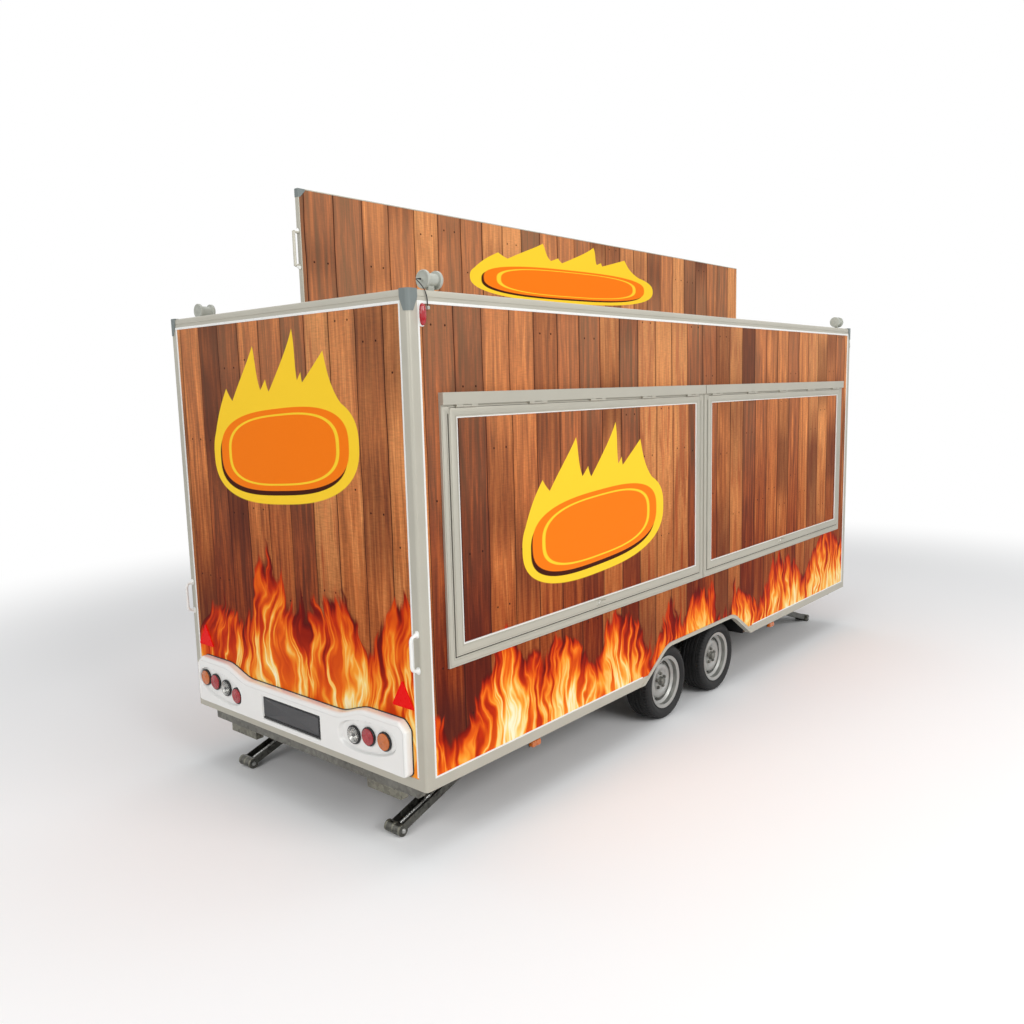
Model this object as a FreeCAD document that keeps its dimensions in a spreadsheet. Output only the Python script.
import FreeCAD, Part
import math
import operator
import os
import Sketcher
from FreeCAD import Placement, Rotation, Vector

# Concession trailer: a tandem-axle box trailer with two top-hinged serving hatches,
# a fold-down roof sign, an entrance door in the front wall and four corner steadies.
# Frame: +X is the way it is towed, +Y its left side, +Z up; the origin is on the ground
# under the middle of the whole trailer. Lengths are in millimetres.

doc = FreeCAD.newDocument("concession_trailer")
sheet = doc.addObject("Spreadsheet::Sheet", "Sizes")

# Driving sizes: name, value, meaning
SIZES = [
    ("body_length", 5500, "box body, rear face to front face"),
    ("body_width", 2100, "box body over the corner posts"),
    ("body_height", 2415, "sill underside to roof rail top"),
    ("ground_gap", 365, "ground to sill underside"),
    ("rear_reach", 60, "light bar and handles behind the rear face"),
    ("drawbar_reach", 1250, "coupling tip in front of the front face"),
    ("wall", 40, "sandwich wall thickness"),
    ("skin_step", 2, "panel skin behind the profile faces"),
    ("post_long", 60, "corner post along the side"),
    ("post_wide", 53, "corner post across the end"),
    ("post_wall", 3, "corner post metal"),
    ("post_round", 16, "corner post outer radius"),
    ("rail_height", 52, "roof rail height"),
    ("rail_depth", 45, "roof rail depth"),
    ("rail_wall", 4, "rail and sill metal"),
    ("roof_drop", 7, "roof skin below the rail top"),
    ("sill_height", 57, "sill height, also the floor thickness"),
    ("sill_depth", 50, "sill depth"),
    ("cap_drop", 98, "corner cap skirt below the roof edge"),
    ("cap_skin", 3, "corner cap thickness over the post"),
    ("cap_slope", 73, "height of the sloping edges of a corner cap"),
    ("axle_mid", 2750, "rear face to the middle of the axle pair"),
    ("axle_spacing", 730, "between the two axles"),
    ("tyre_radius", 260, "tyre outer radius"),
    ("tyre_width", 195, "tyre section width"),
    ("tyre_inset", 70, "side face to tyre outer wall"),
    ("rim_seat", 165, "rim bead seat radius"),
    ("rim_flange", 184, "rim flange radius"),
    ("rim_half", 82, "half of the rim width over the flanges"),
    ("fit_gap", 0.3, "running and seating clearance"),
    ("arch_half", 771, "half of the wheel arch at the sill underside"),
    ("arch_slope", 290, "length of each sloping arch end"),
    ("arch_rise", 190, "wheel arch top above the sill underside"),
    ("arch_round", 190, "radius of the arch's top corners"),
    ("arch_band", 26, "arch trim band width"),
    ("liner_rise", 232, "wheel box top above the sill underside"),
    ("liner_wall", 4, "wheel box thickness"),
    ("liner_inset", 46, "wheel box end inside the arch end at the sill"),
    ("liner_deep", 300, "side face to the wheel box inner wall"),
    ("hatch_first", 175, "rear face to the rear hatch surround"),
    ("hatch_last", 217, "front hatch surround to the front face"),
    ("hatch_between", 8, "between the two surrounds"),
    ("hatch_low", 588, "sill underside to the surround bottom"),
    ("hatch_drop", 531, "roof rail top to the hinge rail underside"),
    ("hinge_rail", 59, "hinge rail height"),
    ("surround_face", 44, "surround member width"),
    ("surround_proud", 10, "surround proud of the side face"),
    ("rail_proud", 30, "hinge rail proud of the side face"),
    ("flap_gap", 6, "gap round a flap"),
    ("flap_proud", 12, "flap face proud of the side face"),
    ("flap_thick", 38, "flap thickness"),
    ("flap_frame", 56, "flap frame member width"),
    ("flap_recess", 3, "flap panel behind its frame face"),
    ("stop_lip", 12, "stop lip of the surround and the door frame"),
    ("knuckle", 7, "hinge knuckle radius"),
    ("hinge_pin", 4, "hinge pin radius"),
    ("hinge_out", 20, "hinge axis proud of the face"),
    ("door_width", 740, "door opening width"),
    ("door_head", 398, "roof rail top to the top of the door opening"),
    ("door_side", 60, "middle plane to the door opening's right edge"),
    ("door_face", 34, "door frame member width"),
    ("door_thick", 36, "door leaf thickness"),
    ("counter_height", 640, "counter top above the sill underside"),
    ("counter_deep", 560, "counter depth"),
    ("counter_thick", 36, "counter top thickness"),
    ("rail_inset", 400, "side face to a chassis rail's middle"),
    ("rail_wide", 60, "chassis rail width"),
    ("frame_high", 80, "chassis rail height"),
    ("frame_metal", 5, "chassis rail metal"),
    ("frame_setback", 50, "rear face to the rear cross member"),
    ("cross_inset", 120, "side face to the end of a cross member"),
    ("beam_wide", 60, "drawbar beam width"),
    ("beam_root", 1300, "drawbar beam root behind the front face"),
    ("beam_inset", 75, "chassis rail's middle to the beam at its root"),
    ("beam_tip", 760, "drawbar beam tip in front of the front face"),
    ("beam_nose", 62, "middle plane to the beam at its tip"),
    ("coupling_height", 430, "coupling ball centre above the ground"),
    ("axle_tube", 80, "axle tube, square"),
    ("axle_inset", 315, "side face to the end of the axle tube"),
    ("arm_run", 150, "hub behind the axle tube"),
    ("steady_inset", 360, "side face to a steady leg's middle"),
    ("steady_pivot", 770, "end face to the steady pivot"),
    ("steady_foot", 100, "end face to the steady foot"),
    ("steady_drop", 112, "sill underside to the steady pivot"),
    ("foot_radius", 31, "steady foot roller radius"),
    ("leg_wide", 90, "steady leg width"),
    ("leg_deep", 44, "steady leg depth"),
    ("leg_metal", 4, "steady leg metal"),
    ("steady_pin", 8, "steady pivot pin radius"),
    ("sign_short", 410, "how much shorter than the body the roof sign is"),
    ("sign_start", 200, "rear face to the roof sign"),
    ("sign_height", 603, "roof sign height"),
    ("sign_lift", 25, "roof rail top to the sign's lower edge"),
    ("sign_thick", 26, "sign frame thickness"),
    ("sign_frame", 34, "sign frame member width"),
    ("sign_skin", 6, "sign board thickness"),
    ("bar_inset", 92, "side face to the end of the light bar"),
    ("bar_depth", 48, "light bar depth"),
    ("bar_low", 62, "sill underside to the light bar's underside"),
    ("bar_high", 350, "sill underside to the top of its raised ends"),
    ("bar_middle", 288, "sill underside to its low middle"),
    ("lamp_radius", 47, "round lamp radius"),
    ("pocket_deep", 22, "lamp pocket depth"),
    ("jockey_ahead", 620, "front face to the jockey wheel tube"),
    ("jockey_side", 176, "middle plane to the jockey wheel tube"),
    ("jockey_radius", 100, "jockey wheel radius"),
    ("jockey_wide", 56, "jockey wheel width"),
    ("jockey_trail", 46, "jockey wheel axle behind its tube"),
    ("sleeve_radius", 30, "jockey sleeve radius"),
    ("tube_radius", 25, "jockey inner tube radius"),
]


class Size:
    """A length that carries its value and the sheet formula that gives it."""

    def __init__(self, value, formula):
        self.value = float(value)
        self.formula = formula

    def __add__(self, other):
        return combined(self, other, "+", operator.add)

    def __radd__(self, other):
        return combined(other, self, "+", operator.add)

    def __sub__(self, other):
        return combined(self, other, "-", operator.sub)

    def __rsub__(self, other):
        return combined(other, self, "-", operator.sub)

    def __mul__(self, other):
        return combined(self, other, "*", operator.mul)

    def __rmul__(self, other):
        return combined(other, self, "*", operator.mul)

    def __truediv__(self, other):
        return combined(self, other, "/", operator.truediv)

    def __neg__(self):
        return Size(-self.value, "(-1 * " + self.formula + ")")


def number(size):
    """Return the plain value of a Size or a number."""
    return size.value if isinstance(size, Size) else float(size)


def formula(size):
    """Return the sheet formula of a Size or a number."""
    return size.formula if isinstance(size, Size) else repr(float(size))


def combined(first, second, sign, work):
    text = "(" + formula(first) + " " + sign + " " + formula(second) + ")"
    return Size(work(number(first), number(second)), text)


S = {}
for row, (name, value, meaning) in enumerate(SIZES, start=1):
    sheet.set("A" + str(row), name)
    sheet.set("B" + str(row), str(value))
    sheet.set("C" + str(row), meaning)
    sheet.setAlias("B" + str(row), name)
    S[name] = Size(value, "Sizes." + name)
doc.recompute()

# Main planes
rear = (S["rear_reach"] - S["body_length"] - S["drawbar_reach"]) / 2
front = rear + S["body_length"]
half = S["body_width"] / 2
low = S["ground_gap"]
top = low + S["body_height"]
frame_low = low - S["frame_high"]
hatch_width = (S["body_length"] - S["hatch_first"] - S["hatch_between"] - S["hatch_last"]) / 2
hatch_head = top - S["hatch_drop"]
frame_mid = half - S["rail_inset"]
cross_half = half - S["cross_inset"]
axle_half = half - S["axle_inset"]
steady_side = half - S["steady_inset"]
liner_inner = half - S["liner_deep"]
sign_length = S["body_length"] - S["sign_short"]
RIGHT, LEFT = -1, 1
CLEAR = 5


def bind(item, prop, size):
    """Set a property and tie it to the sheet where it comes from there."""
    if prop.startswith("Placement.Base."):
        base = item.Placement.Base
        setattr(base, prop[-1], number(size))
        item.Placement = Placement(base, item.Placement.Rotation)
    else:
        setattr(item, prop, number(size))
    if isinstance(size, Size):
        item.setExpression(prop, size.formula)


def place(item, x, y, z):
    for axis, size in zip("xyz", (x, y, z)):
        bind(item, "Placement.Base." + axis, size)
    return item


def ordered(a, b):
    return (a, b) if number(a) <= number(b) else (b, a)


def block(label, xs, ys, zs):
    """A box between two x, two y and two z planes, given in either order."""
    item = doc.addObject("Part::Box", label)
    lows = []
    for prop, pair in (("Length", xs), ("Width", ys), ("Height", zs)):
        small, large = ordered(*pair)
        bind(item, prop, large - small)
        lows.append(small)
    return place(item, *lows)


TURNS = {"x": Rotation(Vector(0, 1, 0), 90), "y": Rotation(Vector(1, 0, 0), -90), "z": Rotation()}


def rod(label, axis, radius, start, length):
    """A cylinder from a start point along +x, +y or +z."""
    item = doc.addObject("Part::Cylinder", label)
    item.Placement = Placement(Vector(), TURNS[axis])
    bind(item, "Radius", radius)
    bind(item, "Height", length)
    return place(item, *start)


def cone(label, axis, radius, end_radius, start, length):
    item = doc.addObject("Part::Cone", label)
    item.Placement = Placement(Vector(), TURNS[axis])
    bind(item, "Radius1", radius)
    bind(item, "Radius2", end_radius)
    bind(item, "Height", length)
    return place(item, *start)


def cut(label, base, *tools):
    """The base less the tools."""
    item = doc.addObject("Part::Cut", label)
    item.Base = base
    item.Tool = tools[0] if len(tools) == 1 else gather(label + "_tools", tools)
    return item


def fuse(label, *items):
    item = doc.addObject("Part::MultiFuse", label)
    item.Shapes = list(items)
    return item


def gather(label, items):
    """Separate solids of one body kept in one piece."""
    item = doc.addObject("Part::Compound", label)
    item.Links = list(items)
    return item


def new_sketch(body, plane, label):
    sketch = body.newObject("Sketcher::SketchObject", label)
    support = [f for f in body.Origin.OriginFeatures if f.Role == plane][0]
    sketch.AttachmentSupport = (support, [""])
    sketch.MapMode = "FlatFace"
    return sketch


def fix_point(sketch, line, x, y):
    """Hold a line's start point at x, y, tied to the sheet where they come from there."""
    for kind, size in (("DistanceX", x), ("DistanceY", y)):
        index = sketch.addConstraint(Sketcher.Constraint(kind, -1, 1, line, 1, number(size)))
        if isinstance(size, Size):
            sketch.setExpression("Constraints[" + str(index) + "]", size.formula)


def polygon(sketch, points):
    """A closed outline of straight lines through the points."""
    spots = [Vector(number(x), number(y), 0) for x, y in points]
    first = sketch.GeometryCount
    for here, there in zip(spots, spots[1:] + spots[:1]):
        sketch.addGeometry(Part.LineSegment(here, there), False)
    count = len(spots)
    for i in range(count):
        joined = Sketcher.Constraint("Coincident", first + i, 2, first + (i + 1) % count, 1)
        sketch.addConstraint(joined)
    for i, (x, y) in enumerate(points):
        fix_point(sketch, first + i, x, y)


def padded(label, plane, points, depth, both=False, reverse=False):
    """A body: an outline drawn on one of its own planes, given a depth."""
    body = doc.addObject("PartDesign::Body", label)
    sketch = new_sketch(body, plane, label + "_outline")
    polygon(sketch, points)
    pad = body.newObject("PartDesign::Pad", label + "_pad")
    pad.Profile = sketch
    bind(pad, "Length", depth)
    pad.Midplane = both
    pad.Reversed = reverse
    body.Tip = pad
    return body


def rounded(body, label, radius, chosen):
    """Round those edges of a body that the test picks."""
    doc.recompute()
    solid = body.Tip
    names = ["Edge" + str(i) for i, edge in enumerate(solid.Shape.Edges, start=1) if chosen(edge)]
    fillet = body.newObject("PartDesign::Fillet", label)
    fillet.Base = (solid, names)
    bind(fillet, "Radius", radius)
    body.Tip = fillet
    return body


def along(edge, axis):
    """Whether a straight edge runs along an axis."""
    ends = [v.Point for v in edge.Vertexes]
    if len(ends) != 2:
        return False
    run = ends[1] - ends[0]
    return abs(abs(run.dot(axis)) - run.Length) < 1e-6 and run.Length > 1e-6


def turned(label, points):
    """A body turned about its own Z from an outline of (radius, height) points."""
    body = doc.addObject("PartDesign::Body", label)
    sketch = new_sketch(body, "XZ_Plane", label + "_outline")
    polygon(sketch, points)
    spin = body.newObject("PartDesign::Revolution", label + "_spin")
    spin.Profile = sketch
    spin.ReferenceAxis = (sketch, ["V_Axis"])
    spin.Angle = 360
    body.Tip = spin
    return body


UP, ALONG, ACROSS = Vector(0, 0, 1), Vector(1, 0, 0), Vector(0, 1, 0)
NODES = []


def node(item, label):
    """Name a finished sub-part."""
    item.Label = label
    NODES.append(item)
    return item


# Box body: floor, roof and walls
def arch_points(grow):
    """Trapezoid of a wheel arch in (x, z), its lines moved out by grow."""
    mid = rear + S["axle_mid"]
    slant = math.hypot(number(S["arch_rise"]), number(S["arch_slope"]))
    out = grow * slant / number(S["arch_rise"])
    half_low = S["arch_half"] + out
    half_top = S["arch_half"] - S["arch_slope"] + grow * (slant - number(S["arch_slope"])) / number(S["arch_rise"])
    rise = low + S["arch_rise"] + grow
    return [(mid - half_low, low), (mid + half_low, low), (mid + half_top, rise), (mid - half_top, rise)]


def arch_tool(label, side, grow, inner, outer):
    """The wheel arch as a solid between two distances from the middle plane."""
    body = padded(label, "XZ_Plane", arch_points(grow), outer - inner)
    radius = S["arch_round"] + grow

    def top_corner(edge):
        return along(edge, ACROSS) and edge.Vertexes[0].Point.z > number(low) + 1

    rounded(body, label + "_round", radius, top_corner)
    return place(body, 0, -1 * inner if side == RIGHT else outer, 0)


floor_box = block("floor_box", (rear + S["sill_depth"], front - S["sill_depth"]),
                  (S["sill_depth"] - half, half - S["sill_depth"]), (low, low + S["sill_height"]))
liner_back = rear + S["axle_mid"] - S["arch_half"] + S["liner_inset"]
liner_fore = rear + S["axle_mid"] + S["arch_half"] - S["liner_inset"]
wells = [block("well_" + str(side), (liner_back, liner_fore), (side * liner_inner, side * half),
               (low - 1, low + S["sill_height"] + 1)) for side in (RIGHT, LEFT)]
CORNERS = [("rear_right", rear, -half, 0), ("front_right", front, -half, 90),
           ("front_left", front, half, 180), ("rear_left", rear, half, 270)]


def corner_notches(label, low_z, high_z):
    """Blocks that clear the four corner posts out of a panel."""
    notches = []
    for name, x, y, quarter in CORNERS:
        inner_x = x + S["post_long"] if name.startswith("rear") else x - S["post_long"]
        inner_y = y + S["post_wide"] if name.endswith("right") else y - S["post_wide"]
        notches.append(block(label + name, (x, inner_x), (y, inner_y), (low_z, high_z)))
    return notches


floor_notches = corner_notches("floor_notch_", low - 1, low + S["sill_height"] + 1)
node(cut("floor_cut", floor_box, *wells, *floor_notches), "floor_panel")

wall_low, wall_top = low + S["sill_height"], top - S["rail_height"]
skin = half - S["skin_step"]
inside = skin - S["wall"]
roof_z = top - S["roof_drop"]
roof_box = block("roof_box", (rear + S["rail_depth"], front - S["rail_depth"]),
                 (S["rail_depth"] - half, half - S["rail_depth"]), (wall_top, roof_z))
node(cut("roof_cut", roof_box, *corner_notches("roof_notch_", wall_top - 1, top)), "roof_panel")

end_half = half - S["post_wide"]
rear_skin, front_skin = rear + S["skin_step"], front - S["skin_step"]
node(block("rear_box", (rear_skin, rear_skin + S["wall"]), (-end_half, end_half), (wall_low, wall_top)),
     "rear_wall")

door_right, door_left = S["door_side"], S["door_side"] + S["door_width"]
door_low, door_top = wall_low, top - S["door_head"]
front_box = block("front_box", (front_skin - S["wall"], front_skin), (-end_half, end_half), (wall_low, wall_top))
door_hole = block("door_hole", (front - 100, front + 10), (door_right, door_left), (door_low - 1, door_top))
node(cut("front_cut", front_box, door_hole), "front_wall")

side_back, side_fore = rear + S["post_long"], front - S["post_long"]
left_box = block("left_box", (side_back, side_fore), (inside, skin), (wall_low, wall_top))
node(cut("left_cut", left_box, arch_tool("left_arch", LEFT, S["arch_band"], half - 200, half + 20)), "left_wall")

right_box = block("right_box", (side_back, side_fore), (-skin, -inside), (wall_low, wall_top))
hatch_starts = [rear + S["hatch_first"]]
hatch_starts.append(hatch_starts[0] + hatch_width + S["hatch_between"])
head = hatch_head
hatch_holes = [block("hatch_hole_" + str(i), (x, x + hatch_width), (-half - 20, 100 - half),
                     (low + S["hatch_low"], head + S["hinge_rail"])) for i, x in enumerate(hatch_starts)]
right_arch = arch_tool("right_arch", RIGHT, S["arch_band"], half - 200, half + 20)
node(cut("right_cut", right_box, right_arch, *hatch_holes), "right_wall")


# Aluminium profiles: corner posts, roof rails, sills and the plastic corner caps
def corner(label, along_x, along_y, thickness, height, radius):
    """A hollow corner profile, its rounded edge at the local origin's corner."""
    body = padded(label, "XY_Plane", [(0, 0), (along_x, 0), (along_x, along_y), (0, along_y)], height)

    def outer_edge(edge):
        spot = edge.Vertexes[0].Point
        return along(edge, UP) and abs(spot.x) < 1e-6 and abs(spot.y) < 1e-6

    rounded(body, label + "_round", radius, outer_edge)
    if thickness is not None:
        sketch = new_sketch(body, "XY_Plane", label + "_core")
        far_x, far_y = along_x - thickness, along_y - thickness
        near = thickness + radius / 3
        polygon(sketch, [(near, thickness), (far_x, thickness), (far_x, far_y), (thickness, far_y),
                         (thickness, near)])
        pocket = body.newObject("PartDesign::Pocket", label + "_hollow")
        pocket.Profile = sketch
        pocket.Reversed = True
        bind(pocket, "Length", height)
        body.Tip = pocket
    return body


CAP_FOOT = 0.52
posts, caps = [], []
for name, x, y, quarter in CORNERS:
    swapped = quarter in (90, 270)
    sizes = (S["post_wide"], S["post_long"]) if swapped else (S["post_long"], S["post_wide"])
    post = corner("post_" + name, *sizes, S["post_wall"], wall_top - low, S["post_round"])
    post.Placement = Placement(Vector(), Rotation(UP, quarter))
    posts.append(place(post, x, y, low))

    cap_x, cap_y = [size + S["cap_skin"] for size in sizes]
    cap = corner("cap_" + name, cap_x, cap_y, None, S["cap_drop"] + S["cap_skin"],
                 S["post_round"] + S["cap_skin"])
    core = corner("cap_core_" + name, cap_x + CLEAR, cap_y + CLEAR, None,
                  S["cap_drop"] - S["rail_height"] + CLEAR, S["post_round"])
    place(core, S["cap_skin"], S["cap_skin"], -CLEAR)
    slopes = [padded("cap_slope_" + plane + name, plane + "_Plane",
                     [(size * CAP_FOOT, -CLEAR), (size + CLEAR, -CLEAR), (size + CLEAR, S["cap_slope"])],
                     2 * S["cap_skin"], both=True)
              for plane, size in (("XZ", cap_x), ("YZ", cap_y))]
    cap = cut("cap_cut_" + name, cap, core, *slopes)
    cap.Placement = Placement(Vector(), Rotation(UP, quarter))
    out_x = -1 if name.startswith("rear") else 1
    out_y = -1 if name.endswith("right") else 1
    caps.append(place(cap, x + out_x * S["cap_skin"], y + out_y * S["cap_skin"], top - S["cap_drop"]))
node(gather("post_set", posts), "corner_posts")
node(gather("cap_set", caps), "corner_caps")


def rail(label, start, length, axis, side, height, depth, thickness, round_edge):
    """A hollow edge profile along X or Y; side tells which way its outer face looks."""
    points = [(0, 0), (depth, 0), (depth, height), (0, height)]
    body = padded(label, "YZ_Plane", points, length)
    core = new_sketch(body, "YZ_Plane", label + "_core")
    polygon(core, [(thickness, thickness), (depth - thickness, thickness),
                   (depth - thickness, height - thickness * 3), (thickness, height - thickness * 3)])
    pocket = body.newObject("PartDesign::Pocket", label + "_hollow")
    pocket.Profile = core
    pocket.Reversed = True
    bind(pocket, "Length", length)
    body.Tip = pocket

    def outer_edge(edge):
        spot = edge.Vertexes[0].Point
        return along(edge, ALONG) and abs(spot.y) < 1e-6 and abs(spot.z - number(height)) < 1e-6

    rounded(body, label + "_round", round_edge, outer_edge)
    quarter = {("x", RIGHT): 0, ("y", 1): 90, ("x", LEFT): 180, ("y", -1): 270}[(axis, side)]
    body.Placement = Placement(Vector(), Rotation(UP, quarter))
    return place(body, *start)


rail_sizes = (S["rail_height"], S["rail_depth"], S["rail_wall"], S["rail_wall"] * 2)
side_run, end_run = side_fore - side_back, 2 * end_half
node(gather("rail_set", [
    rail("rail_right", (side_back, -half, wall_top), side_run, "x", RIGHT, *rail_sizes),
    rail("rail_left", (side_fore, half, wall_top), side_run, "x", LEFT, *rail_sizes),
    rail("rail_rear", (rear, end_half, wall_top), end_run, "y", -1, *rail_sizes),
    rail("rail_front", (front, -end_half, wall_top), end_run, "y", 1, *rail_sizes)]), "roof_rails")

sill_sizes = (S["sill_height"], S["sill_depth"], S["rail_wall"], S["rail_wall"])
sills = [rail("sill_rear", (rear, end_half, low), end_run, "y", -1, *sill_sizes),
         rail("sill_front", (front, -end_half, low), end_run, "y", 1, *sill_sizes)]
for name, side, x in (("right", RIGHT, side_back), ("left", LEFT, side_fore)):
    bar = rail("sill_" + name, (x, side * half, low), side_run, "x", side, *sill_sizes)
    gap = arch_tool("sill_gap_" + name, side, S["arch_band"], half - 200, half + 20)
    sills.append(cut("sill_cut_" + name, bar, gap))
node(gather("sill_set", sills), "sill_rails")

trims = []
for name, side in (("right", RIGHT), ("left", LEFT)):
    outer = arch_tool("trim_out_" + name, side, S["arch_band"], inside, half + S["cap_skin"])
    inner = arch_tool("trim_in_" + name, side, S["arch_band"] * 0, inside - 20, half + 20)
    trims.append(cut("trim_" + name, outer, inner))
node(gather("trim_set", trims), "arch_trims")

liners = []
for name, side in (("right", RIGHT), ("left", LEFT)):
    shell = block("liner_out_" + name, (liner_back, liner_fore), (side * liner_inner, side * inside),
                  (low, low + S["liner_rise"]))
    space = block("liner_in_" + name, (liner_back + S["liner_wall"], liner_fore - S["liner_wall"]),
                  (side * (liner_inner + S["liner_wall"]), side * (inside + 10)),
                  (low - 10, low + S["liner_rise"] - S["liner_wall"]))
    liners.append(cut("liner_" + name, shell, space))
node(gather("liner_set", liners), "arch_liners")


# Serving hatches: fixed surrounds with hinge rails, and the flaps
KNUCKLE_RUN, HINGE_RUN = 46, 150
flap_low = low + S["hatch_low"] + S["surround_face"] + S["flap_gap"]
flap_top = head - S["flap_gap"]
hinge_y, hinge_z = -half - S["hinge_out"], head - S["knuckle"] - 0.5
frame_in = S["surround_face"] + S["flap_gap"]
surrounds = []
for name, x in zip(("rear", "front"), hatch_starts):
    end = x + hatch_width
    outer = block("surround_out_" + name, (x, end), (-half - S["surround_proud"], -inside),
                  (low + S["hatch_low"], head + 1))
    hole = block("surround_in_" + name, (x + S["surround_face"], end - S["surround_face"]),
                 (-half - 50, 50 - inside), (low + S["hatch_low"] + S["surround_face"], head + 2))
    ring = cut("surround_ring_" + name, outer, hole)
    header = block("hinge_rail_" + name, (x, end), (-half - S["rail_proud"], -inside),
                   (head, head + S["hinge_rail"]))
    lips = [block("lip_" + side + name, lip_x, (-inside - S["stop_lip"], -inside), lip_z)
            for side, lip_x, lip_z in (
                ("left_", (x + S["surround_face"], x + S["surround_face"] + S["stop_lip"] * 2),
                 (low + S["hatch_low"] + 20, head + 2)),
                ("right_", (end - S["surround_face"] - S["stop_lip"] * 2, end - S["surround_face"]),
                 (low + S["hatch_low"] + 20, head + 2)),
                ("low_", (x + 20, end - 20),
                 (low + S["hatch_low"] + 20, low + S["hatch_low"] + S["surround_face"] + S["stop_lip"] * 2)))]
    pieces = [ring, header] + lips

    flap_back, flap_fore = x + frame_in, end - frame_in
    flap_outer, flap_inner = -half - S["flap_proud"], S["flap_thick"] - half - S["flap_proud"]
    panel_back, panel_fore = flap_back + S["flap_frame"], flap_fore - S["flap_frame"]
    panel_low, panel_top = flap_low + S["flap_frame"], flap_top - S["flap_frame"] / 2
    flap = block("flap_out_" + name, (flap_back, flap_fore), (flap_outer, flap_inner), (flap_low, flap_top))
    window = block("flap_in_" + name, (panel_back, panel_fore), (flap_outer - 5, flap_inner + 5),
                   (panel_low, panel_top))
    knuckles = []
    for i in range(5):
        mid = flap_back + 120 + (flap_fore - flap_back - 240) * i / 4
        for j, shift in enumerate((-1, 1)):
            start = mid + shift * (HINGE_RUN - KNUCKLE_RUN) / 2 - KNUCKLE_RUN / 2
            barrel = rod("hatch_knuckle_%s_%d_%d" % (name, i, j), "x", S["knuckle"], (start, hinge_y, hinge_z),
                         KNUCKLE_RUN)
            web = block("hatch_web_%s_%d_%d" % (name, i, j), (start, start + KNUCKLE_RUN),
                        (hinge_y - S["knuckle"], hinge_y), (hinge_z, head + 2))
            pieces += [barrel, web]
        pieces.append(rod("hatch_pin_%s_%d" % (name, i), "x", S["hinge_pin"],
                          (mid - HINGE_RUN / 2, hinge_y, hinge_z), HINGE_RUN))
        start, run = mid - HINGE_RUN / 2 + KNUCKLE_RUN + 1, HINGE_RUN - 2 * KNUCKLE_RUN - 2
        barrel = rod("flap_knuckle_%s_%d" % (name, i), "x", S["knuckle"], (start, hinge_y, hinge_z), run)
        web = block("flap_web_%s_%d" % (name, i), (start, start + run), (hinge_y, flap_outer + 1),
                    (hinge_z - S["knuckle"], hinge_z - 1))
        bore = rod("flap_bore_%s_%d" % (name, i), "x", S["hinge_pin"] + S["fit_gap"],
                   (start - 1, hinge_y, hinge_z), run + 2)
        knuckles.append(cut("flap_leaf_%s_%d" % (name, i), fuse("flap_eye_%s_%d" % (name, i), barrel, web), bore))
    surrounds.append(fuse("surround_" + name, *pieces))
    grip_x = (flap_back + flap_fore) / 2
    plate = block("turn_plate_" + name, (grip_x - 22, grip_x + 22), (flap_outer - 6, flap_outer + 1),
                  (flap_low + 14, flap_low + 46))
    bar = block("turn_bar_" + name, (grip_x - 9, grip_x + 60), (flap_outer - 16, flap_outer - 5),
                (flap_low + 22, flap_low + 38))
    ring = cut("flap_ring_" + name, flap, window)
    node(fuse("flap_whole_" + name, ring, plate, bar, *knuckles), "hatch_" + name + "_frame")
    node(block("flap_panel_" + name, (panel_back, panel_fore),
               (flap_outer + S["flap_recess"], flap_inner - S["flap_recess"]), (panel_low, panel_top)),
         "hatch_" + name + "_panel")
node(gather("surround_set", surrounds), "hatch_surrounds")

counter_top = low + S["counter_height"]
counter_back, counter_fore = rear + 150, front - 900
worktop = block("worktop", (counter_back, counter_fore), (-inside, S["counter_deep"] - inside),
                (counter_top - S["counter_thick"], counter_top))
splash = block("counter_front", (counter_back, counter_fore),
               (S["counter_deep"] - inside - 60, S["counter_deep"] - inside - 40),
               (wall_low, counter_top - S["counter_thick"]))
cheeks = [block("counter_cheek_" + str(i), (x, x + 18), (-inside, S["counter_deep"] - inside - 60),
                (low + S["liner_rise"], counter_top - S["counter_thick"]))
          for i, x in enumerate((counter_back, counter_fore - 18))]
legs = [block("counter_leg_" + str(i), (x, x + 18), (-inside, S["counter_deep"] - inside - 60),
              (wall_low, low + S["liner_rise"])) for i, x in enumerate((counter_back, counter_fore - 18))]
node(fuse("counter", worktop, splash, *cheeks, *legs), "serving_counter")


# Entrance door in the front wall
face = S["door_face"]
door_ring = cut("door_ring",
                block("door_ring_out", (front_skin - S["wall"], front + S["surround_proud"]),
                      (door_right, door_left), (door_low, door_top)),
                block("door_ring_in", (front - 100, front + 100), (door_right + face, door_left - face),
                      (door_low + face, door_top - face)))
lip_in = face + S["stop_lip"] * 2
door_stop = cut("door_stop",
                block("door_stop_out", (front_skin - S["wall"], front_skin - S["wall"] + S["stop_lip"]),
                      (door_right + 5, door_left - 5), (door_low + 5, door_top - 5)),
                block("door_stop_in", (front - 100, front + 100), (door_right + lip_in, door_left - lip_in),
                      (door_low + lip_in, door_top - lip_in)))
leaf_right, leaf_left = door_right + face + S["flap_gap"], door_left - face - S["flap_gap"]
leaf_low, leaf_top = door_low + face + S["flap_gap"], door_top - face - S["flap_gap"]
leaf_fore = front + S["flap_proud"]
leaf_back = leaf_fore - S["door_thick"]
door_hinge_x, door_hinge_y = front + S["hinge_out"], leaf_left + 3
frame_parts, leaf_parts = [door_ring, door_stop], []
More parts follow.
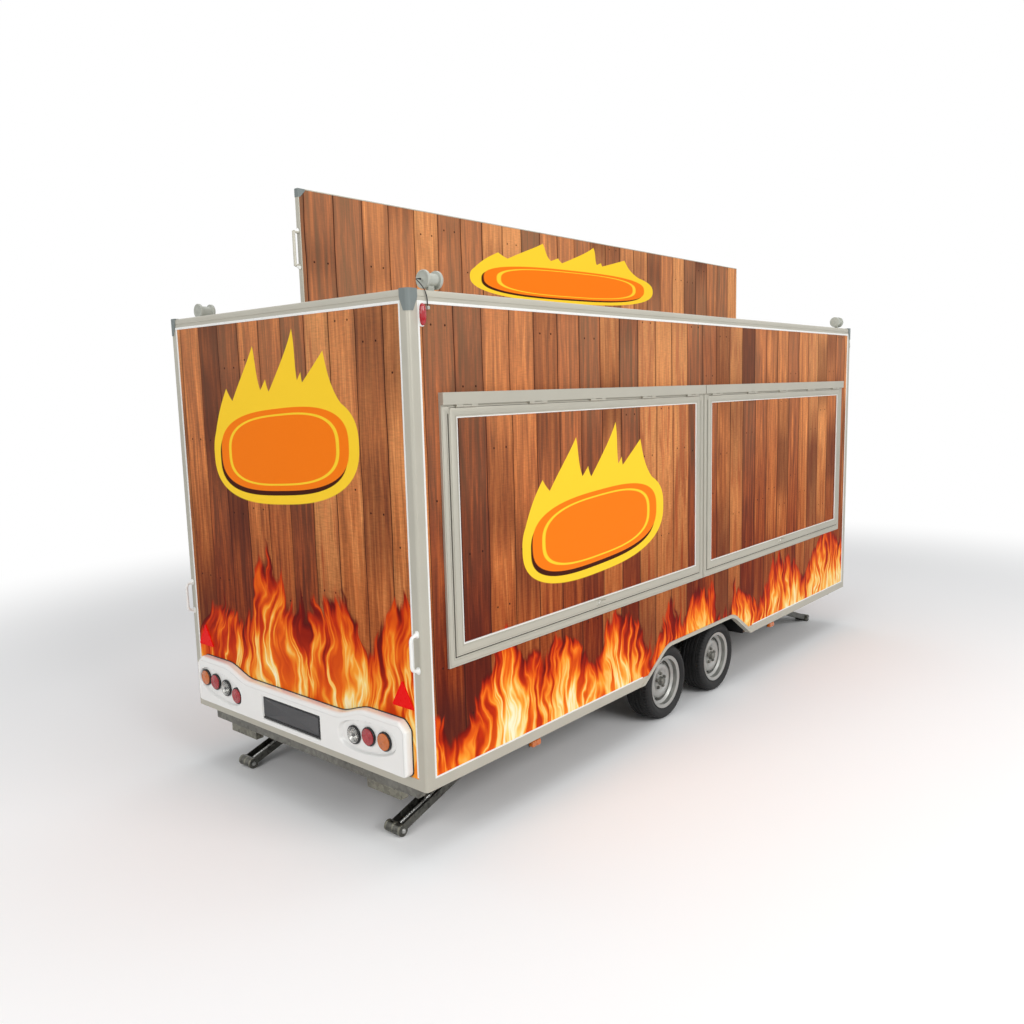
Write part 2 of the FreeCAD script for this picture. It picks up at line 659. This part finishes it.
for i in range(3):
    mid = leaf_low + 180 + (leaf_top - leaf_low - 360) * i / 2
    for j, shift in enumerate((-1, 1)):
        start = mid + shift * (HINGE_RUN - KNUCKLE_RUN) / 2 - KNUCKLE_RUN / 2
        frame_parts.append(rod("door_knuckle_%d_%d" % (i, j), "z", S["knuckle"],
                               (door_hinge_x, door_hinge_y, start), KNUCKLE_RUN))
        frame_parts.append(block("door_web_%d_%d" % (i, j), (front + S["surround_proud"] - 2, door_hinge_x),
                                 (door_hinge_y, door_hinge_y + 30), (start, start + KNUCKLE_RUN)))
    frame_parts.append(rod("door_pin_%d" % i, "z", S["hinge_pin"],
                           (door_hinge_x, door_hinge_y, mid - HINGE_RUN / 2), HINGE_RUN))
    start, run = mid - HINGE_RUN / 2 + KNUCKLE_RUN + 1, HINGE_RUN - 2 * KNUCKLE_RUN - 2
    eye = fuse("door_eye_%d" % i,
               rod("leaf_knuckle_%d" % i, "z", S["knuckle"], (door_hinge_x, door_hinge_y, start), run),
               block("leaf_web_%d" % i, (leaf_fore - 2, door_hinge_x + 3),
                     (door_hinge_y - 40, door_hinge_y), (start, start + run)))
    leaf_parts.append(cut("leaf_eye_%d" % i, eye,
                          rod("leaf_bore_%d" % i, "z", S["hinge_pin"] + S["fit_gap"],
                              (door_hinge_x, door_hinge_y, start - 1), run + 2)))
node(fuse("door_frame_whole", *frame_parts), "door_frame")
leaf_box = block("leaf_box", (leaf_back, leaf_fore), (leaf_right, leaf_left), (leaf_low, leaf_top))
node(fuse("leaf_whole", leaf_box, *leaf_parts), "door_leaf")
handle_y, handle_z = leaf_right + 60, low + 950
grip = [block("door_grip_plate", (leaf_fore, leaf_fore + 8), (handle_y - 22, handle_y + 22),
              (handle_z - 90, handle_z + 90)),
        rod("door_grip_stem", "x", 10, (leaf_fore + 4, handle_y, handle_z), 40),
        block("door_grip_bar", (leaf_fore + 32, leaf_fore + 46), (handle_y - 10, handle_y + 130),
              (handle_z - 11, handle_z + 11))]
node(fuse("door_grip", *grip), "door_handle")

# Chassis: two channel rails, cross members, drawbar beams
chassis_back, chassis_fore = rear + S["frame_setback"], front - S["frame_setback"]
chassis_parts = []
cross_wide = 50
for name, side in (("right", RIGHT), ("left", LEFT)):
    inner, outer = frame_mid - S["rail_wide"] / 2, frame_mid + S["rail_wide"] / 2
    bar = block("rail_solid_" + name, (chassis_back + cross_wide, chassis_fore - cross_wide),
                (side * inner, side * outer), (frame_low, low))
    hollow = block("rail_hollow_" + name, (chassis_back - 10, chassis_fore + 10),
                   (side * (inner - 5), side * (outer - S["frame_metal"])),
                   (frame_low + S["frame_metal"], low - S["frame_metal"]))
    chassis_parts.append(cut("rail_" + name + "_channel", bar, hollow))


def beam_points(side, grow):
    """Outline of one drawbar beam in (x, y), widened by grow on each side."""
    root_x, tip_x = front - S["beam_root"], front + S["beam_tip"]
    root_y, tip_y = frame_mid - S["beam_inset"], S["beam_nose"]
    wide = S["beam_wide"] / 2 + grow
    return [(root_x, side * (root_y - wide)), (tip_x, side * (tip_y - wide)),
            (tip_x, side * (tip_y + wide)), (root_x, side * (root_y + wide))]


def beam(label, side, grow, height):
    body = padded(label, "XY_Plane", beam_points(side, grow), height)
    return place(body, 0, 0, frame_low)


beams = [beam("beam_" + name, side, 0, S["frame_high"]) for name, side in (("right", RIGHT), ("left", LEFT))]
beam_gaps = [place(beam("beam_gap_" + name, side, 0, S["frame_high"] + 20), 0, 0, frame_low - 10)
             for name, side in (("right", RIGHT), ("left", LEFT))]
node(gather("rail_pair", chassis_parts), "chassis_rails")
ends = [block("cross_rear", (chassis_back, chassis_back + cross_wide), (-cross_half, cross_half),
              (frame_low, low)),
        cut("cross_front_cut",
            block("cross_front", (chassis_fore - cross_wide, chassis_fore), (-cross_half, cross_half),
                  (frame_low, low)), *beam_gaps)]
web = frame_mid + S["rail_wide"] / 2 - S["frame_metal"]
for i, x in enumerate((1300, 1980, 3500, 4150)):
    ends.append(block("cross_%d" % i, (rear + x, rear + x + cross_wide), (-web, web),
                      (frame_low + S["frame_metal"], low - S["frame_metal"])))
node(gather("cross_set", ends), "cross_members")

nose = front + S["beam_tip"]
nose_plate = block("nose_plate", (nose - 330, nose), (-110, 110), (low, low + 8))
tie = cut("tie_cut", block("tie_plate", (nose - 700, nose - 640), (-300, 300), (frame_low + 20, low - 20)),
          *[place(beam("tie_gap_" + str(side), side, 0, S["frame_high"] + 20), 0, 0, frame_low - 10)
            for side in (RIGHT, LEFT)])
tie_core = doc.addObject("Part::Common", "tie_core")
tie_core.Base = tie
tie_core.Tool = block("tie_between", (nose - 800, nose - 600), (-200, 200), (frame_low, low))
node(fuse("drawbar_whole", *beams, nose_plate, tie_core), "drawbar")

# Overrun coupling on the drawbar nose, with its hand brake lever
cz = S["coupling_height"]
tip = front + S["drawbar_reach"]
housing = block("housing", (nose - 300, nose - 10), (-52, 52), (low + 8, cz + 44))
shaft = rod("coupling_shaft", "x", 25, (nose - 12, 0, cz), tip - 150 - nose)
bellows = [cone("bellows_%d" % i, "x", 42 - 8 * (i % 2), 34 + 8 * (i % 2), (nose - 11 + 16 * i, 0, cz), 16)
           for i in range(8)]
head_body = block("head_body", (tip - 190, tip - 30), (-38, 38), (cz - 20, cz + 34))
socket = rod("head_socket", "z", 40, (tip - 40, 0, cz - 34), 68)
hollow = rod("head_hollow", "z", 26, (tip - 40, 0, cz - 35), 50)
head_grip = block("head_grip", (tip - 230, tip - 60), (-11, 11), (cz + 44, cz + 60))
head_post = block("head_post", (tip - 80, tip - 56), (-9, 9), (cz + 30, cz + 46))
lever = block("lever", (nose - 240, nose - 216), (-66, -54), (cz - 20, cz + 330))
lever_boss = rod("lever_boss", "y", 22, (nose - 228, -68, cz), 20)
lever_grip = rod("lever_grip", "z", 15, (nose - 228, -60, cz + 300), 110)
head_whole = cut("head_whole", fuse("head_solid", head_body, socket, head_grip, head_post), hollow)
node(fuse("coupling_whole", housing, shaft, *bellows, head_whole, lever, lever_boss, lever_grip), "coupling")


# Axles: square tube, trailing arms, brake back plates and spindles
wheel_mid = half - S["tyre_inset"] - S["tyre_width"] / 2
hub_z = S["tyre_radius"]
DRUM_IN, BACK_GAP, PLATE = 38, 6, 6
hubs = {"rear": rear + S["axle_mid"] - S["axle_spacing"] / 2, "front": rear + S["axle_mid"] + S["axle_spacing"] / 2}
for name, hub_x in hubs.items():
    tube_x = hub_x + S["arm_run"]
    tube_top = frame_low
    parts = [block("axle_beam_" + name, (tube_x - S["axle_tube"] / 2, tube_x + S["axle_tube"] / 2),
                   (-axle_half, axle_half), (tube_top - S["axle_tube"], tube_top))]
    for side in (RIGHT, LEFT):
        tag = name + str(side)
        arm_out = axle_half + 30
        plate_out = wheel_mid - DRUM_IN - BACK_GAP
        parts.append(block("arm_" + tag, (hub_x - 38, tube_x + S["axle_tube"] / 2), (side * (axle_half - 1), side * arm_out),
                           (hub_z - 42, hub_z + 42)))
        for label, radius, start, stop in (("stub_", 34, arm_out - 2, plate_out),
                                           ("plate_", 106, plate_out - PLATE, plate_out),
                                           ("spindle_", 18, plate_out - 1, wheel_mid + 24)):
            near = start if side == LEFT else -stop
            parts.append(rod(label + tag, "y", radius, (hub_x, near, hub_z), stop - start))
    node(fuse("axle_whole_" + name, *parts), "axle_" + name)

# Wheels: tyre and pressed steel rim with its drum and hub cap, outer side at +height
half_tyre = S["tyre_width"] / 2
seat, lip, rim_half = S["rim_seat"], S["rim_flange"], S["rim_half"]
bead = rim_half - 7
bore = seat + S["fit_gap"]
crown = S["tyre_radius"]
TYRE = [(bore, -bead), (lip + 4, -bead), (seat + 45, -half_tyre), (crown - 26, 3 - half_tyre),
        (crown - 6, 16 - half_tyre), (crown, 30 - half_tyre), (crown, half_tyre - 30),
        (crown - 6, half_tyre - 16), (crown - 26, half_tyre - 3), (seat + 45, half_tyre),
        (lip + 4, bead), (bore, bead)]
lip_in = bead + S["fit_gap"]
well = seat - 19
RIM = [(lip, rim_half), (lip, lip_in), (seat, lip_in), (seat, 45), (well, 32), (well, -32), (seat, -45),
       (seat, -lip_in), (lip, -lip_in), (lip, -rim_half), (lip - 6, -rim_half), (seat - 6, 3 - rim_half),
       (seat - 6, -48), (well - 6, -35), (well - 6, 0), (118, 30), (100, 30), (100, -DRUM_IN),
       (90, -DRUM_IN), (90, 14), (42, 14), (42, -30), (19, -30), (19, 40), (0, 40), (0, 66), (24, 66),
       (30, 58), (30, 36), (72, 36), (84, 44), (108, 44), (124, 34), (well - 6, 8), (well - 6, 35),
       (seat - 6, 48), (seat - 6, rim_half - 3), (lip - 6, rim_half)]
for axle, hub_x in hubs.items():
    for name, side in (("right", RIGHT), ("left", LEFT)):
        tag = axle + "_" + name
        turn = Rotation(ALONG, 90 if side == RIGHT else -90)
        for kind, outline in (("tyre", TYRE), ("rim", RIM)):
            wheel = turned(kind + "_body_" + tag, outline)
            wheel.Placement = Placement(Vector(), turn)
            node(place(wheel, hub_x, side * wheel_mid, hub_z), kind + "_" + tag)

# Corner steadies: brackets under the chassis rails and swinging legs
pivot_z = low - S["steady_drop"]
foot_z = S["foot_radius"] + 1
cheek_gap, cheek = 6, 6
brackets = []
for end, end_x, way in (("rear", rear, 1), ("front", front, -1)):
    pivot_x = end_x + way * S["steady_pivot"]
    foot_x = end_x + way * S["steady_foot"]
    run = S["steady_pivot"] - S["steady_foot"]
    reach = math.hypot(number(run), number(pivot_z) - number(foot_z))
    slope = math.degrees(math.asin((number(pivot_z) - number(foot_z)) / reach))
    for name, side in (("right", RIGHT), ("left", LEFT)):
        tag = end + "_" + name
        near, far = steady_side - S["leg_wide"] / 2, steady_side + S["leg_wide"] / 2
        parts = [block("steady_top_" + tag, (pivot_x - 60, pivot_x + 60),
                       (side * (near - cheek_gap - cheek), side * (far + cheek_gap + cheek)),
                       (frame_low - 6, frame_low))]
        for i, (a, b) in enumerate(((near - cheek_gap - cheek, near - cheek_gap), (far + cheek_gap, far + cheek_gap + cheek))):
            parts.append(block("steady_cheek_%s_%d" % (tag, i), (pivot_x - 30, pivot_x + 30), (side * a, side * b),
                               (pivot_z - 26, frame_low - 5)))
        start = near - cheek_gap - cheek
        stop = far + cheek_gap + cheek
        parts.append(rod("steady_pin_" + tag, "y", S["steady_pin"],
                         (pivot_x, start if side == LEFT else -stop, pivot_z), stop - start))
        brackets.append(fuse("steady_bracket_" + tag, *parts))
        # Leg in its own frame: pivot at the origin, foot along +x
        deep, wide = S["leg_deep"], S["leg_wide"]
        floor_z, open_z = deep / 2 - S["leg_metal"], -deep
        if end == "front":
            floor_z, open_z = -floor_z, deep
        channel = cut("leg_channel_" + tag,
                      block("leg_solid_" + tag, (0, reach), (-wide / 2, wide / 2), (-deep / 2, deep / 2)),
                      block("leg_space_" + tag, (-10, reach + 10),
                            (S["leg_metal"] - wide / 2, wide / 2 - S["leg_metal"]), (open_z, floor_z)))
        boss = rod("leg_boss_" + tag, "y", deep / 2, (0, -wide / 2, 0), wide)
        foot = rod("leg_foot_" + tag, "y", S["foot_radius"], (reach, -wide / 2 - 14, 0), wide + 28)
        eye = rod("leg_eye_" + tag, "y", S["steady_pin"] + S["fit_gap"], (0, -wide, 0), wide * 2)
        leg = cut("leg_whole_" + tag, fuse("leg_solid_whole_" + tag, channel, boss, foot), eye)
        spin = Rotation(ACROSS, slope if way < 0 else 180 - slope)
        leg.Placement = Placement(Vector(), spin)
        node(place(leg, pivot_x, side * steady_side, pivot_z), "steady_leg_" + tag)
        if end == "rear":
            tube = block("carrier_tube_" + tag, (rear + 62, rear + 112), (side * 520, side * 785),
                         (low - 136, low - 86))
            pad = block("carrier_pad_" + tag, (rear + 52, rear + 98), (side * 560, side * 745),
                        (low - 87, frame_low))
            brackets.append(fuse("carrier_" + tag, tube, pad))
node(gather("bracket_set", brackets), "steady_brackets")

# Roof sign on hinge brackets, folding down on to the roof
sign_back, sign_fore = rear + S["sign_start"], rear + S["sign_start"] + sign_length
sign_low = top + S["sign_lift"]
sign_high = sign_low + S["sign_height"]
half_sign = S["sign_thick"] / 2
edge = S["sign_frame"]
sign_ring = cut("sign_ring",
                block("sign_out", (sign_back, sign_fore), (-half_sign, half_sign), (sign_low, sign_high)),
                block("sign_in", (sign_back + edge, sign_fore - edge), (-half_sign - 5, half_sign + 5),
                      (sign_low + edge, sign_high - edge)))
studs = [block("sign_stud_%d" % i, (x - 15, x + 15), (S["sign_skin"] / 2, half_sign),
               (sign_low + edge - 2, sign_high - edge + 2))
         for i, x in enumerate([sign_back + sign_length * k / 4 for k in (1, 2, 3)])]
sign_axis_y, sign_axis_z = half_sign + 10, sign_low + 8
sign_parts, roof_feet = [sign_ring] + studs, []
for i in range(5):
    mid = sign_back + 200 + (sign_length - 400) * i / 4
    for j, shift in enumerate((-1, 1)):
        start = mid + shift * (HINGE_RUN - KNUCKLE_RUN) / 2 - KNUCKLE_RUN / 2
        roof_feet.append(fuse("sign_foot_%d_%d" % (i, j),
                              rod("sign_knuckle_%d_%d" % (i, j), "x", S["knuckle"],
                                  (start, sign_axis_y, sign_axis_z), KNUCKLE_RUN),
                              block("sign_post_%d_%d" % (i, j), (start, start + KNUCKLE_RUN),
                                    (sign_axis_y - 6, sign_axis_y + 6), (roof_z, sign_axis_z)),
                              block("sign_pad_%d_%d" % (i, j), (start, start + KNUCKLE_RUN),
                                    (sign_axis_y - 40, sign_axis_y + 40), (roof_z, roof_z + 6))))
    pin = rod("sign_pin_%d" % i, "x", S["hinge_pin"], (mid - HINGE_RUN / 2, sign_axis_y, sign_axis_z), HINGE_RUN)
    roof_feet[-2] = fuse("sign_hinge_%d" % i, roof_feet[-2], roof_feet[-1], pin)
    roof_feet.pop()
    start, run = mid - HINGE_RUN / 2 + KNUCKLE_RUN + 1, HINGE_RUN - 2 * KNUCKLE_RUN - 2
    eye = fuse("sign_eye_%d" % i,
               rod("sign_barrel_%d" % i, "x", S["knuckle"], (start, sign_axis_y, sign_axis_z), run),
               block("sign_web_%d" % i, (start, start + run), (half_sign - 1, sign_axis_y),
                     (sign_axis_z - 4, sign_axis_z + 7)))
    sign_parts.append(cut("sign_leaf_%d" % i, eye,
                          rod("sign_bore_%d" % i, "x", S["hinge_pin"] + S["fit_gap"],
                              (start - 1, sign_axis_y, sign_axis_z), run + 2)))
handle_low, handle_high = sign_low + 196, sign_low + 379
sign_parts += [rod("sign_grip", "z", 8, (sign_back - 32, 0, handle_low), handle_high - handle_low),
               rod("sign_grip_low", "x", 8, (sign_back - 32, 0, handle_low + 4), 34),
               rod("sign_grip_high", "x", 8, (sign_back - 32, 0, handle_high - 4), 34)]
node(fuse("sign_whole", *sign_parts), "sign_frame")
node(block("sign_board", (sign_back + edge, sign_fore - edge), (-S["sign_skin"] / 2, S["sign_skin"] / 2),
           (sign_low + edge, sign_high - edge)), "sign_panel")
node(gather("sign_feet", roof_feet), "sign_brackets")

# Rear light bar: moulded panel with raised ends, lamp pockets and a plate recess
bar_back = rear - S["bar_depth"]
bar_half, bar_low, bar_high, bar_mid = half - S["bar_inset"], low + S["bar_low"], low + S["bar_high"], low + S["bar_middle"]
bar_body = padded("bar_body", "YZ_Plane",
                  [(-bar_half, bar_low), (bar_half, bar_low), (bar_half, bar_high - 50), (bar_half - 56, bar_high),
                   (bar_half - 318, bar_high), (bar_half - 533, bar_mid), (533 - bar_half, bar_mid),
                   (318 - bar_half, bar_high),
                   (56 - bar_half, bar_high), (-bar_half, bar_high - 50)], S["bar_depth"] + S["skin_step"])
rounded(bar_body, "bar_corners", 34, lambda edge: along(edge, ALONG))
rounded(bar_body, "bar_rim", 12, lambda edge: all(abs(v.Point.x) < 1e-6 for v in edge.Vertexes))
place(bar_body, bar_back, 0, 0)
pockets = []
for name, y, z, tilt in (("left", bar_half - 245, 190, 8), ("right", 303 - bar_half, 200, -6)):
    oval = doc.addObject("Part::Ellipse", "pocket_oval_" + name)
    oval.MajorRadius, oval.MinorRadius = 232, 92
    oval.Placement = Placement(Vector(), Rotation(ALONG, tilt) * Rotation(ACROSS, 90) * Rotation(UP, 90))
    place(oval, bar_back - 1, y, low + z)
    sweep = doc.addObject("Part::Extrusion", "pocket_" + name)
    sweep.Base = oval
    sweep.DirMode = "Custom"
    sweep.Dir = ALONG
    sweep.Solid = True
    bind(sweep, "LengthFwd", S["pocket_deep"] + 1)
    pockets.append(sweep)
recess = block("plate_recess", (bar_back - 1, bar_back + S["pocket_deep"] - 4), (-276, 276), (low + 88, low + 232))
node(cut("bar_cut", bar_body, recess, *pockets), "light_bar")

pocket_x = bar_back + S["pocket_deep"]
LAMPS = [("amber", bar_half - 74, 214), ("red", bar_half - 182, 206), ("clear", bar_half - 296, 190),
         ("red", bar_half - 412, 166), ("clear", 412 - bar_half, 190), ("red", 294 - bar_half, 208),
         ("amber", 172 - bar_half, 212)]
lamps = {"amber": [], "red": [], "clear": []}
for i, (colour, y, z) in enumerate(LAMPS):
    lens = fuse("lens_%d" % i, rod("lens_body_%d" % i, "x", S["lamp_radius"], (pocket_x - 16, y, low + z), 16),
                cone("lens_dome_%d" % i, "x", S["lamp_radius"] - 12, S["lamp_radius"], (pocket_x - 22, y, low + z), 6))
    lamps[colour].append(lens)
for i, (x, side) in enumerate(((861, RIGHT), (3935, RIGHT), (861, LEFT), (3935, LEFT))):
    lamps["amber"].append(block("marker_%d" % i, (rear + x - 42, rear + x + 42), (side * (half - 6), side * (half - 36)),
                                (low - 48, low)))
for i, side in enumerate((RIGHT, LEFT)):
    lamps["red"].append(fuse("outline_%d" % i,
                             block("outline_base_%d" % i, (rear + 56 + 6, rear + 56 + 46), (side * skin, side * (half + 10)),
                                   (top - 169, top - 59)),
                             block("outline_lens_%d" % i, (rear + 66, rear + 98), (side * (half + 9), side * (half + 26)),
                                   (top - 161, top - 67))))
    lamps["clear"].append(block("front_lamp_%d" % i, (front, front + 34), (side * (half - 8), side * (half - 48)),
                                (top - 185, top - 115)))
for colour, items in lamps.items():
    node(gather(colour + "_set", items), colour + "_lamps")

reflectors = []
for name, side in (("right", RIGHT), ("left", LEFT)):
    y = side * (half - 145)
    sign = padded("reflector_" + name, "YZ_Plane", [(y - 80, low + 410), (y + 80, low + 410), (y, low + 548)], 7)
    reflectors.append(place(sign, rear_skin - 7, 0, 0))
node(gather("reflector_set", reflectors), "reflectors")
node(fuse("plate_whole", block("plate_back", (pocket_x - 10, pocket_x - 4), (-262, 262), (low + 96, low + 224)),
          block("plate_lip", (pocket_x - 14, pocket_x - 9), (-262, 262), (low + 96, low + 108))), "plate_holder")

handles = []
for name, side in (("right", RIGHT), ("left", LEFT)):
    y = side * (half - 26)
    parts = [rod("grab_bar_" + name, "z", 9, (rear - 44, y, low + 616), 184)]
    for i, z in enumerate((626, 790)):
        parts.append(rod("grab_arm_%s_%d" % (name, i), "x", 9, (rear - 44, y, low + z), 44))
        parts.append(rod("grab_foot_%s_%d" % (name, i), "x", 15, (rear - 5, y, low + z), 5))
    handles.append(fuse("grab_" + name, *parts))
node(gather("grab_set", handles), "grab_handles")

# Roof corner lamps: spools lying along the trailer, on short feet
spools = []
lamp_z = top + 55
for i, (x, side) in enumerate(((rear + 150, RIGHT), (rear + 150, LEFT), (front - 250, RIGHT), (front - 250, LEFT))):
    y = side * (half - 56)
    spools.append(fuse("spool_%d" % i, rod("spool_back_%d" % i, "x", 44, (x, y, lamp_z), 18),
                       rod("spool_waist_%d" % i, "x", 30, (x + 17, y, lamp_z), 66),
                       rod("spool_fore_%d" % i, "x", 44, (x + 82, y, lamp_z), 18),
                       block("spool_foot_%d" % i, (x + 30, x + 70), (y - 10, y + 10), (roof_z, lamp_z - 20))))
CABLE_START, CABLE_END = (rear + 142, 56 - half, lamp_z), (rear + 121, -skin - 8, top - 74)
spools[0] = fuse("spool_gland", spools[0], rod("lamp_gland", "x", 7, CABLE_START, 9))
spools.append(block("cable_socket", (CABLE_END[0] - 8, CABLE_END[0] + 8), (-skin - 16, -skin),
                    (CABLE_END[2] - 16, CABLE_END[2])))
node(gather("spool_set", spools), "roof_lamps")

# Jockey wheel: sleeve clamped to the left drawbar beam, tube, fork and wheel
jx, jy = front + S["jockey_ahead"], S["jockey_side"]
sleeve_low, sleeve_top = frame_low + 4, frame_low + 400
clamp = block("jockey_clamp", (jx - 38, jx + 38), (jy - 84, jy), (frame_low + 12, low - 12))
slope_gap = place(beam("clamp_gap", LEFT, 0, S["frame_high"] + 20), 0, 0, frame_low - 10)
sleeve = cut("sleeve_cut",
             fuse("sleeve_solid", rod("sleeve", "z", S["sleeve_radius"], (jx, jy, sleeve_low), sleeve_top - sleeve_low),
                  rod("sleeve_collar", "z", S["sleeve_radius"] + 8, (jx, jy, frame_low + 8), S["frame_high"] - 16), clamp),
             rod("sleeve_bore", "z", S["tube_radius"] + S["fit_gap"], (jx, jy, sleeve_low - 1), sleeve_top - sleeve_low - 20),
             slope_gap)
crank = [rod("crank_post", "z", 10, (jx, jy, sleeve_top - 2), 60),
         block("crank_arm", (jx - 8, jx + 120), (jy - 8, jy + 8), (sleeve_top + 46, sleeve_top + 58)),
         rod("crank_grip", "z", 13, (jx + 108, jy, sleeve_top + 56), 90)]
node(fuse("sleeve_whole", sleeve, *crank), "jockey_sleeve")
crown_z = 2 * S["jockey_radius"] + 18
node(rod("inner_tube", "z", S["tube_radius"], (jx, jy, crown_z), 330), "jockey_tube")
fork_gap = S["jockey_wide"] / 2 + 6
wheel_x = jx - S["jockey_trail"]
fork = [block("fork_crown", (wheel_x - 20, jx + 28), (jy - fork_gap - 5, jy + fork_gap + 5),
              (crown_z - 8, crown_z))]
for side in (-1, 1):
    fork.append(block("fork_arm_" + str(side), (wheel_x - 20, jx + 20), (jy + side * fork_gap, jy + side * (fork_gap + 5)),
                      (S["jockey_radius"] - 18, crown_z)))
fork.append(rod("fork_axle", "y", 8, (wheel_x, jy - fork_gap - 5, S["jockey_radius"]), 2 * fork_gap + 10))
node(fuse("fork_whole", *fork), "jockey_fork")
wheel_half = S["jockey_wide"] / 2
jockey = turned("jockey_body", [(8 + S["fit_gap"], -wheel_half - 3), (20, -wheel_half - 3), (22, -14), (60, -14),
                                (64, -wheel_half), (S["jockey_radius"] - 12, -wheel_half),
                                (S["jockey_radius"], 14 - wheel_half), (S["jockey_radius"], wheel_half - 14),
                                (S["jockey_radius"] - 12, wheel_half), (64, wheel_half), (60, 14), (22, 14),
                                (20, wheel_half + 3), (8 + S["fit_gap"], wheel_half + 3)])
jockey.Placement = Placement(Vector(), Rotation(ALONG, 90))
node(place(jockey, wheel_x, jy, S["jockey_radius"]), "jockey_wheel")


# Lamp cable: from the rear disc of the right roof lamp down to the side rail
CABLE_RADIUS = 2.5


def smooth_path(points):
    """Straight runs joined by tangent arcs as large as the runs allow."""
    spots = [Vector(*p) for p in points]
    edges, last, radii = [], spots[0], []
    for before, here, after in zip(spots, spots[1:], spots[2:]):
        back, ahead = (before - here).normalize(), (after - here).normalize()
        half_turn = (math.pi - back.getAngle(ahead)) / 2
        reach = 0.45 * min((before - here).Length, (after - here).Length)
        start, stop = here + back * reach, here + ahead * reach
        radius = reach / math.tan(half_turn)
        middle = (back + ahead).normalize()
        bulge = here + middle * (radius / math.cos(half_turn) - radius)
        edges.append(Part.LineSegment(last, start).toShape())
        edges.append(Part.Arc(start, bulge, stop).toShape())
        radii.append(radius)
        last = stop
    edges.append(Part.LineSegment(last, spots[-1]).toShape())
    print("cable arc radii", [round(r, 1) for r in radii])
    return Part.Wire(edges)


# Steps from point to point, after the gland and before the socket
CABLE_STEPS = [(-29, 0, 0), (-18, -20, -8), (1, -25, -20), (11, -17, -30), (14, 0, -37)]
CABLE = [tuple(number(size) for size in CABLE_START)]
for step in CABLE_STEPS:
    CABLE.append(tuple(here + move for here, move in zip(CABLE[-1], step)))
cable_end = tuple(number(size) for size in CABLE_END)
CABLE.append(cable_end)
wire = smooth_path(CABLE)
ring = Part.Wire([Part.makeCircle(CABLE_RADIUS, Vector(*CABLE[0]), Vector(*CABLE[1]) - Vector(*CABLE[0]))])
cable = doc.addObject("Part::Feature", "lamp_cable_tube")
cable.Shape = wire.makePipeShell([ring], True, False)
node(cable, "lamp_cable")

doc.recompute()

# Every object must be sound before anything is written
for item in doc.Objects:
    if "Invalid" in item.State or "Error" in item.State:
        raise RuntimeError(item.Label + " did not build: " + str(item.State))
os.makedirs("parts", exist_ok=True)
total = 0.0
for item in NODES:
    shape = item.Shape
    if shape.isNull() or not shape.isValid():
        raise RuntimeError(item.Label + " has no valid shape")
    total += shape.Volume
    print("%-22s %2d solids  %9.4f m3" % (item.Label, len(shape.Solids), shape.Volume / 1e9))
    shape.exportStep("parts/" + item.Label + ".step")
box = FreeCAD.BoundBox()
for item in NODES:
    box.add(item.Shape.BoundBox)
print("nodes", len(NODES), "volume m3", round(total / 1e9, 4))
print("box", [round(value, 1) for value in (box.XMin, box.XMax, box.YMin, box.YMax, box.ZMin, box.ZMax)])
